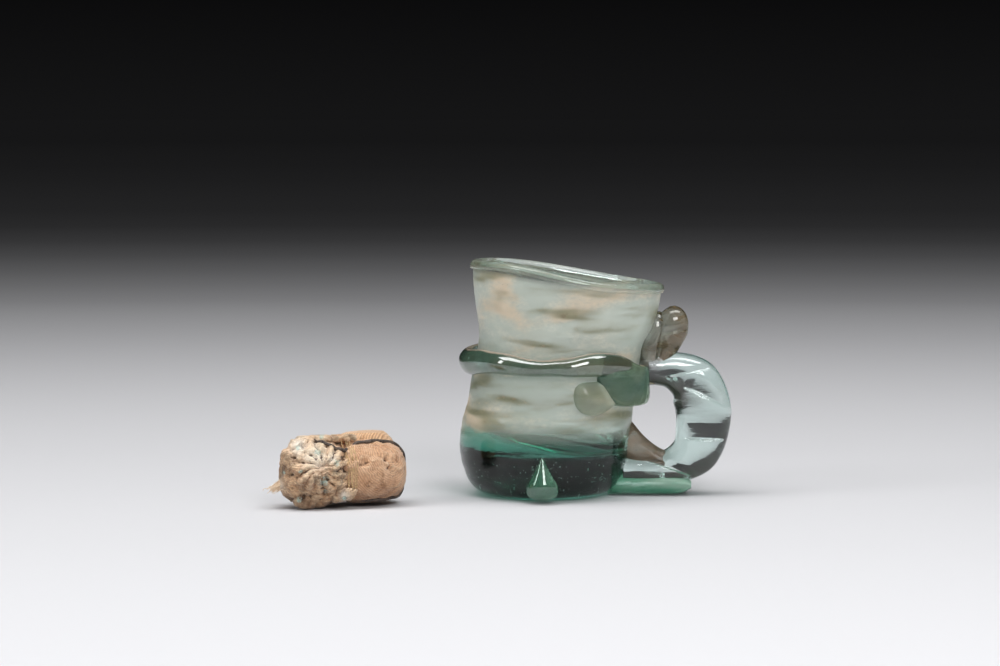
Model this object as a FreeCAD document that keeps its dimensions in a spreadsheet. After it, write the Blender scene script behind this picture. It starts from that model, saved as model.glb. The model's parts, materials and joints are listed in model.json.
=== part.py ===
import FreeCAD, Part
import math
import os

from FreeCAD import Placement, Rotation, Vector

# Free-blown glass reliquary cup with applied thread, pad, handle and thumb rest, and its wrapped relic.
# The origin is the middle of the cup's resting face, +Z up, the handle towards +X, the front towards -Y.

doc = FreeCAD.newDocument("glass_reliquary")

# Driving dimensions, in millimetres and degrees
driving_dimensions = [
    ("cup_height", 55.3),
    ("belly_radius", 21.2),
    ("rim_lean", 5.8),
    ("rim_tilt", 7.0),
    ("wall", 1.6),
    ("floor_height", 10.4),
    ("floor_offset", 4.0),
    ("floor_tilt", 5.0),
    ("rim_bead", 0.95),
    ("trail_thickness", 5.2),
    ("trail_height", 34.2),
    ("trail_tilt", 3.0),
    ("trail_start", 16.0),
    ("trail_sweep", 318.0),
    ("trail_seat", 0.6),
    ("pad_thickness", 3.4),
    ("pad_sweep", 41.0),
    ("pad_height", 11.4),
    ("pad_middle_height", 28.6),
    ("pad_turn", 33.0),
    ("tongue_length", 12.0),
    ("tongue_height", 8.4),
    ("tongue_depth", 6.0),
    ("tongue_middle_height", 24.0),
    ("tongue_turn", 62.0),
    ("drop_height", 10.2),
    ("drop_radius", 4.0),
    ("drop_rise", 0.6),
    ("drop_turn", 90.0),
    ("handle_reach", 47.0),
    ("handle_top", 35.2),
    ("handle_width", 10.0),
    ("handle_thickness", 14.4),
    ("lobe_length", 19.0),
    ("lobe_width", 11.4),
    ("lobe_height", 5.2),
    ("lobe_stand_off", 5.3),
    ("knob_width", 9.2),
    ("knob_thickness", 9.0),
    ("strip_width", 8.8),
    ("strip_thickness", 5.3),
    ("gusset_thickness", 7.3),
    ("bundle_length", 32.4),
    ("bundle_height", 17.6),
    ("bundle_x", -51.5),
    ("bundle_y", -23.0),
    ("bundle_turn", 18.0),
    ("neck_radius", 5.2),
    ("waist_place", 3.2),
    ("tie_thread", 0.5),
    ("tie_pitch", 1.0),
    ("tie_loops", 3),
    ("tie_slack", 0.1),
    ("cord_thickness", 0.8),
    ("bone_radius", 2.4),
    ("bone_length", 20.0),
    ("tuft_length", 5.0),
    ("overrun", 2.0),
]

sheet = doc.addObject("Spreadsheet::Sheet", "sizes")
for row, (alias, number) in enumerate(driving_dimensions, start=1):
    sheet.set(f"A{row}", alias)
    sheet.set(f"B{row}", str(number))
    sheet.setAlias(f"B{row}", alias)
doc.recompute()

labels = []
# The degree of the smooth surfaces through sections, of the wall and of the smaller pieces
wall_degree = 5
smooth_degree = 3


def size(alias):
    """A driving dimension's number."""
    return float(sheet.get(alias))


def bind(item, **expressions):
    """Ties properties of an object to the sheet, a double underscore standing for a dot."""
    for name, expression in expressions.items():
        item.setExpression(name.replace("__", "."), expression)
    return item


def sub_part(item, label):
    """Names a finished sub-part, which is then written to its own file."""
    item.Label = label
    labels.append(item)
    return item


def feature(label, shape):
    """A shape made with Part's own functions, at its own place."""
    item = doc.addObject("Part::Feature", label + "_shape")
    item.Shape = shape
    item.Placement = Placement()
    return item


def cut(label, base, *tools):
    """The base object less each of the tools in turn."""
    for number, tool in enumerate(tools):
        step = doc.addObject("Part::Cut", f"{label}_cut_{number}")
        step.Base = base
        step.Tool = tool
        step.Refine = False
        base = step
    doc.recompute()
    return base


# The blown wall: shares of the height, of the belly's radius and of the rim's lean, foot to rim
outline_shares = [
    (0.000, 0.600, 0.00),
    (0.009, 0.715, 0.00),
    (0.033, 0.822, 0.00),
    (0.080, 0.912, 0.00),
    (0.166, 0.983, 0.00),
    (0.238, 0.998, 0.00),
    (0.328, 1.000, 0.10),
    (0.412, 0.981, 0.28),
    (0.507, 0.976, 0.43),
    (0.620, 0.962, 0.62),
    (0.705, 0.969, 0.72),
    (0.789, 1.033, 0.86),
    (0.860, 1.078, 0.92),
    (0.930, 1.109, 0.96),
    (1.000, 1.127, 1.00),
]
# The cavity from its rounded bottom up: height share, radius share, lean share, walls off the radius
cavity_shares = [
    (0.328, 1.000, 0.10, 1.75),
    (0.412, 0.981, 0.28, 1.30),
    (0.507, 0.976, 0.43, 1.15),
    (0.620, 0.962, 0.62, 1.05),
    (0.705, 0.969, 0.72, 0.95),
    (0.789, 1.033, 0.86, 0.85),
    (0.860, 1.078, 0.92, 0.80),
    (0.930, 1.109, 0.96, 0.76),
    (1.000, 1.127, 1.00, 0.74),
]
# The cavity's bottom: share of the belly's radius, share of the floor's height above the floor, offset share
bowl_shares = [(0.24, 0.00, 1.00), (0.53, 0.10, 0.75), (0.73, 0.36, 0.42)]


def ring(name, radius, lean, height, tilt):
    """One round section of the blown wall, turned half way so that its seam is opposite the handle."""
    circle = doc.addObject("Part::Circle", name)
    circle.Placement = Placement(Vector(), Rotation(Vector(0, 1, 0), 1))
    return bind(
        circle,
        Radius=radius,
        Placement__Base__x=lean,
        Placement__Base__z=height,
        Placement__Rotation__Angle=f"180 + {tilt}",
    )


def wall_rings(name):
    """The sections of the outside."""
    rings = []
    for number, (up, out, lean) in enumerate(outline_shares):
        rings.append(
            ring(
                f"{name}_{number}",
                f"sizes.belly_radius * {out}",
                f"sizes.rim_lean * {lean}",
                f"sizes.cup_height * {up}",
                f"sizes.rim_tilt * {lean}",
            )
        )
    return rings


def loft(name, sections):
    """A smooth solid through round sections."""
    item = doc.addObject("Part::Loft", name)
    item.Sections = sections
    item.Solid = True
    item.Ruled = False
    item.MaxDegree = wall_degree
    return item


outside = loft("wall_outside", wall_rings("outside"))

bowl = []
for number, (out, up, aside) in enumerate(bowl_shares):
    bowl.append(
        ring(
            f"bowl_{number}",
            f"sizes.belly_radius * {out}",
            f"sizes.floor_offset * {aside}",
            f"sizes.floor_height * (1 + {up})",
            f"sizes.floor_tilt * {aside}",
        )
    )
for number, (up, out, lean, walls) in enumerate(cavity_shares):
    bowl.append(
        ring(
            f"cavity_{number}",
            f"sizes.belly_radius * {out} - sizes.wall * {walls}",
            f"sizes.rim_lean * {lean}",
            f"sizes.cup_height * {up}",
            f"sizes.rim_tilt * {lean}",
        )
    )
top_up, top_out, top_lean, top_walls = cavity_shares[-1]
bowl.append(
    ring(
        "cavity_mouth",
        f"sizes.belly_radius * {top_out} - sizes.wall * {top_walls}",
        "sizes.rim_lean + sizes.overrun * sin(sizes.rim_tilt)",
        "sizes.cup_height + sizes.overrun",
        "sizes.rim_tilt",
    )
)
cavity = loft("cavity", bowl)
walled = cut("walled", outside, cavity)

# The fire-rounded rim
bead = doc.addObject("Part::Torus", "bead")
bead.Placement = Placement(Vector(), Rotation(Vector(0, 1, 0), 1))
bind(
    bead,
    Radius1=f"sizes.belly_radius * {top_out} - sizes.wall * {top_walls} / 2",
    Radius2="sizes.rim_bead",
    Placement__Base__x="sizes.rim_lean",
    Placement__Base__z="sizes.cup_height",
    Placement__Rotation__Angle="sizes.rim_tilt",
)
glass_body = doc.addObject("Part::Fuse", "glass_body_fuse")
glass_body.Base = walled
glass_body.Tool = bead
glass_body.Refine = False
sub_part(glass_body, "glass_body")
doc.recompute()


def wall_at(height):
    """The outside's radius and middle at a height, read between the outline's sections."""
    up = height / size("cup_height")
    for low, high in zip(outline_shares, outline_shares[1:]):
        if low[0] <= up <= high[0]:
            part_way = (up - low[0]) / (high[0] - low[0])
            radius = (low[1] + part_way * (high[1] - low[1])) * size("belly_radius")
            middle = (low[2] + part_way * (high[2] - low[2])) * size("rim_lean")
            return radius, middle
    return size("belly_radius") * outline_shares[-1][1], size("rim_lean")


def on_wall(height, turn, out=0):
    """A point on the outside, a turn in degrees from the handle towards the front."""
    radius, middle = wall_at(height)
    angle = math.radians(turn)
    return Vector(
        middle + (radius + out) * math.cos(angle),
        -(radius + out) * math.sin(angle),
        height,
    )


# The thread wound round the waist, from behind the handle round to the pad
trail_radius, trail_middle = wall_at(size("trail_height"))
ring_radius = trail_radius + size("trail_thickness") / 2 - size("trail_seat")
tilt = Rotation(Vector(0, 1, 0), size("trail_tilt"))
start = Rotation(Vector(0, 0, 1), size("trail_start"))
trail = doc.addObject("Part::Torus", "trail_ring")
trail.Radius1 = ring_radius
bind(trail, Radius2="sizes.trail_thickness / 2", Angle3="sizes.trail_sweep")
trail.Placement = Placement(
    Vector(trail_middle, 0, size("trail_height")), tilt.multiply(start)
)
waist_trail = cut("waist_trail", trail, outside)
sub_part(waist_trail, "waist_trail")


# How many points each oval section is drawn through
oval_points = 8


def oval(middle, along, side, half_side, half_cross, seam):
    """A closed oval wire square to a direction, with its half sizes and its seam in degrees."""
    cross = along.cross(side)
    points = []
    for number in range(oval_points):
        angle = math.radians(seam) + 2 * math.pi * number / oval_points
        out = side * (half_side * math.cos(angle)) + cross * (half_cross * math.sin(angle))
        points.append(middle + out)
    curve = Part.BSplineCurve()
    curve.interpolate(Points=points, PeriodicFlag=True)
    return Part.Wire([curve.toShape()])


def strap(sections, half_width, seam):
    """A smooth solid along a path in the XZ plane: x, z, direction in degrees, half thickness."""
    wires = []
    for x, z, direction, half in sections:
        angle = math.radians(direction)
        along = Vector(math.cos(angle), 0, math.sin(angle))
        side = Vector(-math.sin(angle), 0, math.cos(angle))
        wires.append(oval(Vector(x, 0, z), along, side, half, half_width, seam))
    return Part.makeLoft(wires, True, False, False, smooth_degree)


def stacked(sections, seam):
    """A smooth solid through ovals square to X: x, y, z of the middle, half width, half height."""
    wires = []
    for x, y, z, half_width, half_height in sections:
        middle = Vector(x, y, z)
        wires.append(oval(middle, Vector(1, 0, 0), Vector(0, 1, 0), half_width, half_height, seam))
    return Part.makeLoft(wires, True, False, False, smooth_degree)


# The flattened pad at the end of the thread
pad_radius, pad_centre = wall_at(size("pad_middle_height"))
pad_block = doc.addObject("Part::Cylinder", "pad_block")
pad_block.Radius = pad_radius + size("pad_thickness")
bind(pad_block, Height="sizes.pad_height", Angle="sizes.pad_sweep")
pad_block.Placement = Placement(
    Vector(pad_centre, 0, size("pad_middle_height") - size("pad_height") / 2),
    Rotation(Vector(0, 0, 1), -size("pad_turn") - size("pad_sweep") / 2),
)
pad = cut("pad", pad_block, trail, outside)
sub_part(pad, "trail_end_pad")

# The lobe pulled down from the pad
tongue = doc.addObject("Part::Ellipsoid", "tongue_lobe")
bind(
    tongue,
    Radius1="sizes.tongue_height / 2",
    Radius2="sizes.tongue_depth / 2",
    Radius3="sizes.tongue_length / 2",
)
tongue.Placement = Placement(
    on_wall(size("tongue_middle_height"), size("tongue_turn")),
    Rotation(Vector(0, 0, 1), -size("tongue_turn")),
)
tongue_seated = cut("tongue", tongue, outside, waist_trail, pad)
sub_part(tongue_seated, "trail_tongue")

# The drop on the front of the base: share of its height from the point down, share of its radius
drop_shares = [(0.00, 0.10), (0.22, 0.42), (0.48, 0.82), (0.74, 1.00), (0.92, 0.72), (1.00, 0.30)]
drop_seam = 60
drop_wires = []
for down, out in drop_shares:
    height = size("drop_rise") + size("drop_height") * (1 - down)
    spot = on_wall(height, size("drop_turn"))
    half = size("drop_radius") * out
    drop_wires.append(oval(spot, Vector(0, 0, -1), Vector(1, 0, 0), half, half, drop_seam))
drop = feature("base_drop", Part.makeLoft(drop_wires, True, False, False, smooth_degree))
drop_seated = cut("drop", drop, outside)
sub_part(drop_seated, "base_drop")

# The handle's loop: way out from the wall to its middle line's furthest place, z as a share of its top,
# direction in degrees, share of its thickness
loop_shares = [
    (0.242, 0.890, 0, 0.509),
    (0.385, 0.892, -4, 0.542),
    (0.593, 0.884, -20, 0.640),
    (0.852, 0.815, -47, 0.875),
    (0.998, 0.640, -86, 0.999),
    (1.003, 0.466, -97, 0.927),
    (0.878, 0.295, -122, 0.829),
    (0.619, 0.205, -150, 0.666),
    (0.320, 0.186, -172, 0.535),
    (-0.109, 0.180, -180, 0.509),
]


def wall_side(height):
    """The outside's X towards the handle at a height."""
    radius, middle = wall_at(height)
    return radius + middle


def standing_out(shares, thickness):
    """Sections of a piece that spans from the wall to the loop, from its table of shares."""
    return [
        (root + out * span, up * top, way, thick * thickness / 2)
        for out, up, way, thick in shares
    ]


def along_wall(shares, thickness):
    """Sections of a piece that follows the wall, each set off it by a share of its thickness."""
    return [
        (wall_side(up * top) + out * thickness, up * top, way, thick * thickness / 2)
        for out, up, way, thick in shares
    ]


top = size("handle_top")
root = wall_side(top / 2)
span = size("handle_reach") - size("handle_thickness") / 2 - root
# Where each smooth surface's seam lies, in degrees round its sections
loop_seam, strip_seam, knob_seam, gusset_seam, lobe_seam = 150, 65, 250, 60, 250
loop = feature(
    "handle_loop",
    strap(standing_out(loop_shares, size("handle_thickness")), size("handle_width") / 2, loop_seam),
)

# The strip of the handle that is pressed up the wall, and the knob that curls over above it:
# way off the wall as a share of the thickness, z as a share of the handle's top, direction in degrees,
# share of the thickness
strip_shares = [
    (0.670, 0.715, 90, 0.603),
    (0.616, 0.830, 92, 0.887),
    (0.465, 0.965, 92, 0.940),
    (0.393, 1.105, 84, 0.993),
    (0.277, 1.230, 66, 0.851),
    (0.336, 1.300, 60, 0.319),
]
strip = feature(
    "handle_strip",
    strap(along_wall(strip_shares, size("strip_thickness")), size("strip_width") / 2, strip_seam),
)
knob_shares = [
    (0.686, 0.955, 75, 0.627),
    (0.759, 1.080, 70, 0.856),
    (0.678, 1.200, 72, 1.003),
    (0.623, 1.290, 72, 0.731),
    (0.596, 1.335, 72, 0.230),
]
knob = feature(
    "handle_knob",
    strap(along_wall(knob_shares, size("knob_thickness")), size("knob_width") / 2, knob_seam),
)
handle_loop = cut("loop", loop, strip, outside)
sub_part(handle_loop, "handle_loop")
wall_strip = cut("strip", strip, outside)
sub_part(wall_strip, "handle_wall_strip")
thumb_rest = cut("knob", knob, strip, loop)
sub_part(thumb_rest, "thumb_rest")

# The web between the wall and the handle's lower arm, in the loop's kind of shares
gusset_shares = [
    (-0.135, 0.455, -32, 0.953),
    (0.151, 0.350, -38, 1.004),
    (0.463, 0.245, -32, 0.721),
]
gusset = feature(
    "gusset",
    strap(standing_out(gusset_shares, size("gusset_thickness")), size("strip_width") / 2, gusset_seam),
)
handle_gusset = cut("gusset", gusset, loop, outside)
sub_part(handle_gusset, "handle_gusset")

# The flattened lobe under the lower arm, which rests on the same level as the base
lobe_shares = [
    (-0.58, 0.80, 0.86, 0.94),
    (-0.40, 0.95, 0.98, 1.00),
    (-0.12, 1.00, 1.00, 1.00),
    (0.18, 1.00, 0.98, 1.00),
    (0.40, 0.80, 0.80, 1.02),
    (0.52, 0.34, 0.36, 1.04),
]
lobe_half, lobe_wide = size("lobe_height") / 2, size("lobe_width") / 2
lobe_middle = root + size("lobe_stand_off")
lobe_sections = [
    (lobe_middle + along * size("lobe_length"), 0, rise * lobe_half, wide * lobe_wide, high * lobe_half)
    for along, wide, high, rise in lobe_shares
]
lobe = feature("lobe", stacked(lobe_sections, lobe_seam))
foot_lobe = cut("lobe", lobe, loop, outside)
sub_part(foot_lobe, "handle_foot_lobe")

# The wrapped relic lies beside the cup, its left end nearer the front
bundle_place = Placement(
    Vector(size("bundle_x"), size("bundle_y"), 0), Rotation(Vector(0, 0, 1), size("bundle_turn"))
)
length, tall = size("bundle_length"), size("bundle_height")
neck = size("neck_radius")
waist = size("waist_place")
middle_share = 0.458
middle_height = tall * middle_share

# Each form's sections: x as a share of the bundle's length, then shares of its height
neck_share = neck / tall
neck_run_share = 0.052
roll_shares = [
    (0.000, 0.00, 0.00, neck_share, neck_share),
    (neck_run_share, 0.00, 0.00, neck_share, neck_share),
    (0.100, -0.01, 0.00, 0.40, 0.41),
    (0.190, -0.01, 0.00, 0.48, 0.475),
    (0.310, -0.01, 0.00, 0.46, 0.455),
    (0.410, 0.00, 0.00, 0.35, 0.36),
    (0.470, 0.00, 0.00, 0.16, 0.17),
]
head_shares = [
    (0.000, 0.00, 0.00, neck_share, neck_share),
    (-neck_run_share, 0.00, 0.00, neck_share, neck_share),
    (-0.110, -0.02, 0.01, 0.42, 0.43),
    (-0.230, -0.04, 0.025, 0.52, 0.505),
    (-0.370, -0.04, 0.025, 0.50, 0.49),
    (-0.480, -0.02, 0.02, 0.36, 0.37),
    (-0.550, 0.00, 0.01, 0.15, 0.16),
]
fold_shares = [
    (-0.190, 0.17, 0.30, 0.10, 0.09),
    (-0.110, 0.19, 0.31, 0.22, 0.20),
    (0.060, 0.20, 0.32, 0.26, 0.22),
    (0.210, 0.20, 0.33, 0.27, 0.23),
    (0.310, 0.19, 0.31, 0.22, 0.19),
    (0.370, 0.18, 0.28, 0.09, 0.08),
]


def from_shares(rows):
    """Sections in millimetres from a table of shares, from the waist and the middle height."""
    return [
        (waist + x * length, y * tall, middle_height + z * tall, wide * tall, high * tall)
        for x, y, z, wide, high in rows
    ]


neck_run = length * neck_run_share
# Where the seam of each cloth form lies, in degrees round it
cloth_seam, fold_seam = 200, 90
under_floor = Part.makeBox(length * 2, length * 2, tall, Vector(-length, -length, -tall))
roll_solid = stacked(from_shares(roll_shares), cloth_seam).cut(under_floor)
head_solid = stacked(from_shares(head_shares), cloth_seam).cut(under_floor)
fold_solid = stacked(from_shares(fold_shares), fold_seam)

# The bone that the cloth wraps, from the drum through the waist into the head
bone = Part.makeCylinder(
    size("bone_radius"),
    size("bone_length"),
    Vector(waist - size("bone_length") / 2, 0, middle_height),
    Vector(1, 0, 0),
)


def arc_between(first, way, second):
    """The arc from one point to another that starts along a direction."""
    chord = second - first
    reach_out = chord.Length ** 2 / (2 * chord.dot(way))
    corner_point = first + way * reach_out
    bend = math.acos(min(1, chord.dot(way) / chord.Length))
    weight = math.cos(bend)
    middle = (first + corner_point * (2 * weight) + second) * (1 / (2 + 2 * weight))
    return Part.Arc(first, middle, second).toShape()


def biarc(first, way_in, second, way_out):
    """Two arcs that join two points and leave each along its own direction."""
    gap = second - first
    both = way_in + way_out
    turn = 2 * (1 - way_in.dot(way_out))
    run = (-gap.dot(both) + math.sqrt(gap.dot(both) ** 2 + turn * gap.dot(gap))) / turn
    joint = (first + way_in * run + second - way_out * run) * 0.5
    first_arc = arc_between(first, way_in, joint)
    back = arc_between(second, way_out * -1, joint)
    return [first_arc, Part.Edge(back.Curve, back.FirstParameter, back.LastParameter)]


# The thread wound round the waist: one unbroken tube on quarter-turn biarcs
tie_radius = neck + size("tie_thread") / 2 + size("tie_slack")
quarter = math.pi / 2
tie_length = size("tie_pitch") * size("tie_loops")


def tie_point(step):
    """A point of the winding after so many quarter turns, and its direction."""
    angle = step * quarter
    place = Vector(
        waist - tie_length / 2 + size("tie_pitch") * step / 4,
        tie_radius * math.cos(angle),
        middle_height + tie_radius * math.sin(angle),
    )
    way = Vector(
        size("tie_pitch") / (4 * quarter),
        -tie_radius * math.sin(angle),
        tie_radius * math.cos(angle),
    )
    return place, way.normalize()


def tube(edges, first, way, radius):
    """A round tube along a path."""
    path = Part.Wire(Part.__sortEdges__(edges))
    profile = Part.Wire([Part.makeCircle(radius, first, way)])
    return path.makePipeShell([profile], True, False)


turns = int(size("tie_loops"))
# Points in each turn at which the winding's gap to itself is measured
probes = 32
tie_edges = []
for step in range(turns * 4):
    place, way = tie_point(step)
    next_place, next_way = tie_point(step + 1)
    tie_edges += biarc(place, way, next_place, next_way)
tie = tube(tie_edges, *tie_point(0), size("tie_thread") / 2)
tie_points = [tie_point(4 * step / probes)[0] for step in range(turns * probes + 1)]
least = min(
    (a - b).Length
    for i, a in enumerate(tie_points)
    for b in tie_points[i + probes // 2:]
)
print("winding's least gap to itself", round(least - size("tie_thread"), 3))

# The dark cord over the top, round the drum's end and back underneath, as shares of the bundle's size
cord_shares = [
    (-0.300, -0.20, 0.545),
    (-0.150, -0.20, 0.535),
    (0.010, -0.20, 0.510),
    (0.170, -0.20, 0.500),
    (0.310, -0.22, 0.450),
    (0.432, -0.22, 0.345),
    (0.500, -0.21, 0.130),
    (0.500, -0.21, -0.130),
    (0.438, -0.23, -0.340),
    (0.310, -0.26, -0.432),
    (0.160, -0.28, -0.432),
    (0.030, -0.28, -0.425),
]
cord_route = [
    Vector(waist + x * length, y * tall, middle_height + z * tall) for x, y, z in cord_shares
]


def rounded_path(points):
    """Straight runs joined by tangent arcs, as large as the runs allow."""
    run_share = 0.45
    edges, radii = [], []
    here = points[0]
    for before, corner_point, after in zip(points, points[1:], points[2:]):
        run_in, run_out = corner_point - before, after - corner_point
        trim = run_share * min(run_in.Length, run_out.Length)
        way_in, way_out = Vector(run_in).normalize(), Vector(run_out).normalize()
        start_arc, end_arc = corner_point - way_in * trim, corner_point + way_out * trim
        half_turn = way_in.getAngle(way_out) / 2
        radii.append(round(trim / math.tan(half_turn), 2))
        edges.append(Part.LineSegment(here, start_arc).toShape())
        edges.append(arc_between(start_arc, way_in, end_arc))
        here = end_arc
    edges.append(Part.LineSegment(here, points[-1]).toShape())
    return edges, radii


cord_edges, cord_radii = rounded_path(cord_route)
print("dark cord's bend radii", cord_radii)
print("dark cord's length", round(sum(edge.Length for edge in cord_edges), 1))
cord_way = (cord_route[1] - cord_route[0]).normalize()
cord = tube(cord_edges, cord_route[0], cord_way, size("cord_thickness") / 2)

# The frayed tuft at the head's end: share of its length, share of the bundle's middle height,
# share of the bundle's height
tuft_shares = [(0.00, 0.62, 0.13), (0.55, 0.58, 0.10), (1.00, 0.52, 0.04)]
tuft_start_share = 0.50
tuft_sections = [
    (
        waist - tuft_start_share * length - out * size("tuft_length"),
        0,
        middle_height * up,
        tall * half,
        tall * half,
    )
    for out, up, half in tuft_shares
]
tuft = stacked(tuft_sections, fold_seam)
tie_groove = Part.makeCylinder(
    tie_radius + size("tie_thread"),
    (neck_run + size("tie_thread")) * 2,
    Vector(waist - neck_run - size("tie_thread"), 0, middle_height),
    Vector(1, 0, 0),
)


def relic_part(label, shape):
    """A piece of the bundle, placed beside the cup."""
    item = doc.addObject("Part::Feature", label)
    item.Shape = shape
    item.Placement = bundle_place
    return sub_part(item, label)


relic_part("relic_bone", bone)
relic_part("wrap_roll", roll_solid.cut(bone))
relic_part("wrap_head", head_solid.cut(bone))
relic_part("wrap_fold", fold_solid.cut(roll_solid).cut(head_solid).cut(tie_groove))
relic_part("waist_tie", tie)
relic_part("dark_cord", cord)
relic_part("frayed_tuft", tuft.cut(head_solid))

doc.recompute()
for item in doc.Objects:
    if {"Invalid", "Error"} & set(item.State):
        raise RuntimeError(f"{item.Label} failed to build: {item.State}")
os.makedirs("parts", exist_ok=True)
for item in labels:
    shape = item.Shape
    if shape.isNull() or not shape.isValid() or not shape.Solids:
        raise RuntimeError(f"{item.Label} has no valid solid")
    shape.exportStep(f"parts/{item.Label}.step")
    box = shape.optimalBoundingBox()
    print(
        f"{item.Label:20s} solids {len(shape.Solids)} volume {shape.Volume:9.2f}",
        f"x {box.XMin:7.2f} {box.XMax:7.2f} y {box.YMin:7.2f} {box.YMax:7.2f}",
        f"z {box.ZMin:6.2f} {box.ZMax:6.2f}",
    )
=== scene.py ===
import json
import math

import bmesh
import bpy
import numpy as np
from mathutils import Matrix, Vector, noise
from mathutils.bvhtree import BVHTree

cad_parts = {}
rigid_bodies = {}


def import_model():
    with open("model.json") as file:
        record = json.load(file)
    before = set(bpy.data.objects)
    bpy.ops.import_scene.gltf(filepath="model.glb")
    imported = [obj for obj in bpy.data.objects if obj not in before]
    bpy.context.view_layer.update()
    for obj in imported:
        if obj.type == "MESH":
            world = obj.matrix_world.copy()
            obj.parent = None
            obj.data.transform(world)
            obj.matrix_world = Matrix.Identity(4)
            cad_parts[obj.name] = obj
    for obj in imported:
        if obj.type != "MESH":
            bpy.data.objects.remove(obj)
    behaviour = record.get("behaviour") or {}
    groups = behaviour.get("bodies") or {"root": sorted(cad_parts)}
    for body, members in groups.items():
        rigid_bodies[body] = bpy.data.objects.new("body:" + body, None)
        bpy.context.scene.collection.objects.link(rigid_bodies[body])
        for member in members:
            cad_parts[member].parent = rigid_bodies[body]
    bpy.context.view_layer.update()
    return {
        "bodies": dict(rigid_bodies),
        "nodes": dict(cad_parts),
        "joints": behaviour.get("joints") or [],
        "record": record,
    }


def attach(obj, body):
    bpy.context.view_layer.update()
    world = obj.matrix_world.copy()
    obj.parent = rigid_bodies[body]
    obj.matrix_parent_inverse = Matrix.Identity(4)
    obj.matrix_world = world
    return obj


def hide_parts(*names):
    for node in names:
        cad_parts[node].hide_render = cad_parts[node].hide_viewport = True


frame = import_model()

# The view: a long lens a little above the floor, square to the plane of the handle,
# with the cup right of the middle and the relic to its left.
mm = 0.001
lens = bpy.data.cameras.new("lens")
lens.lens = 108
lens.sensor_width = 36
lens.clip_start, lens.clip_end = 0.02, 60
camera = bpy.data.objects.new("camera", lens)
camera.location = (-11 * mm, -748 * mm, 95.4 * mm)
camera.rotation_euler = (math.radians(90 - 4.2), 0, 0)
bpy.context.scene.collection.objects.link(camera)
bpy.context.scene.camera = camera


# The floor: a pale sheet of studio paper, lit by the lamps under the pieces, with a painted pool of light
# in its colour that greys with distance; far behind them it glows with painted greys that run off into the dark,
# with no edge or corner in sight.
class Tone:
    """A socket of a shader, so that masks and heights are written as plain sums."""

    def __init__(self, look, socket):
        self.look, self.socket = look, socket

    def sum(self, operation, *values):
        return self.look.node("Math", {"operation": operation}, dict(enumerate(values)))

    def __add__(self, other):
        return self.sum("ADD", self, other)

    def __radd__(self, other):
        return self.sum("ADD", other, self)

    def __sub__(self, other):
        return self.sum("SUBTRACT", self, other)

    def __rsub__(self, other):
        return self.sum("SUBTRACT", other, self)

    def __mul__(self, other):
        return self.sum("MULTIPLY", self, other)

    def __rmul__(self, other):
        return self.sum("MULTIPLY", other, self)

    def __truediv__(self, other):
        return self.sum("DIVIDE", self, other)

    def __pow__(self, other):
        return self.sum("POWER", self, other)


class Look:
    """A material, or the room's own shader, and the nodes it is made of."""

    def __init__(self, name, kind=bpy.data.materials):
        self.material = kind.new(name)
        self.material.use_nodes = True
        self.tree = self.material.node_tree
        self.tree.nodes.clear()

    def node(self, kind, settings=None, inputs=None, out=0):
        """One node from its type, its settings and the values or links of its sockets."""
        node = self.tree.nodes.new("ShaderNode" + kind)
        for key, value in (settings or {}).items():
            if key == "stops":
                ramp = node.color_ramp.elements
                for number, (place, colour) in enumerate(value):
                    stop = ramp[number] if number < 2 else ramp.new(place)
                    stop.position, stop.color = place, colour
            else:
                setattr(node, key, value)
        for key, value in (inputs or {}).items():
            if isinstance(value, Tone):
                self.tree.links.new(value.socket, node.inputs[key])
            else:
                node.inputs[key].default_value = value
        return Tone(self, node.outputs[out]) if node.outputs else None

    def place(self, x=1.0, y=1.0, z=1.0):
        """Places on the object in millimetres, stretched along each axis."""
        spot = self.node("TexCoord", out="Object")
        factors = (1000 * x, 1000 * y, 1000 * z)
        return self.node("VectorMath", {"operation": "MULTIPLY"}, {0: spot, 1: factors})

    def axes(self, spot):
        split = self.node("SeparateXYZ", inputs={0: spot}).socket.node
        return [Tone(self, socket) for socket in split.outputs]

    def cloud(self, spot, scale, detail=3.0, rough=0.5, warp=0.0):
        """Soft noise from 0 to 1, its scale in spots per millimetre."""
        return self.node(
            "TexNoise", inputs={"Vector": spot, "Scale": scale, "Detail": detail, "Roughness": rough, "Distortion": warp}
        )

    def step(self, value, low, high):
        """0 below one value, 1 above another, smooth between them."""
        settings = {"interpolation_type": "SMOOTHSTEP"}
        return self.node("MapRange", settings, {"Value": value, "From Min": low, "From Max": high})

    def mix(self, share, first, second):
        """A share of the way from one colour to another."""
        settings = {"data_type": "RGBA"}
        return self.node("Mix", settings, {0: share, 6: first, 7: second}, out=2)

    def blend(self, share, first, second):
        """A share of the way from one shader to another."""
        return self.node("MixShader", inputs={0: share, 1: first, 2: second})

    def finish(self, surface, volume=None):
        inputs = {"Surface": surface}
        if volume:
            inputs["Volume"] = volume
        self.node("OutputMaterial", inputs=inputs)
        return self.material


def rgb(red, green, blue, alpha=1.0):
    """A colour as it looks on screen, from 0 to 255, as the light it stands for."""
    light = [(c / 255 / 12.92) if c < 10.3 else ((c / 255 + 0.055) / 1.055) ** 2.4 for c in (red, green, blue)]
    return (*light, alpha)


paper = Look("studio_paper")
pool_middle = (-0.011, -0.9, 0.0)
offset = paper.node("VectorMath", {"operation": "SUBTRACT"}, {0: paper.node("TexCoord", out="Object"), 1: pool_middle})
reach = paper.node("VectorMath", {"operation": "LENGTH"}, {0: offset}, out="Value")


def greys(look, value, stops):
    """Greys, as they look on screen, at places along a value, a little cooler than neutral."""
    colours = [(place, rgb(grey, grey, grey * 1.01 + 0.5)) for place, grey in stops]
    return look.node("ValToRGB", {"stops": [colours[0], colours[-1], *colours[1:-1]]}, {0: value})


# Painted pool of light: the lit floor's colour greys a little with distance from the pool's middle.
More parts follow.
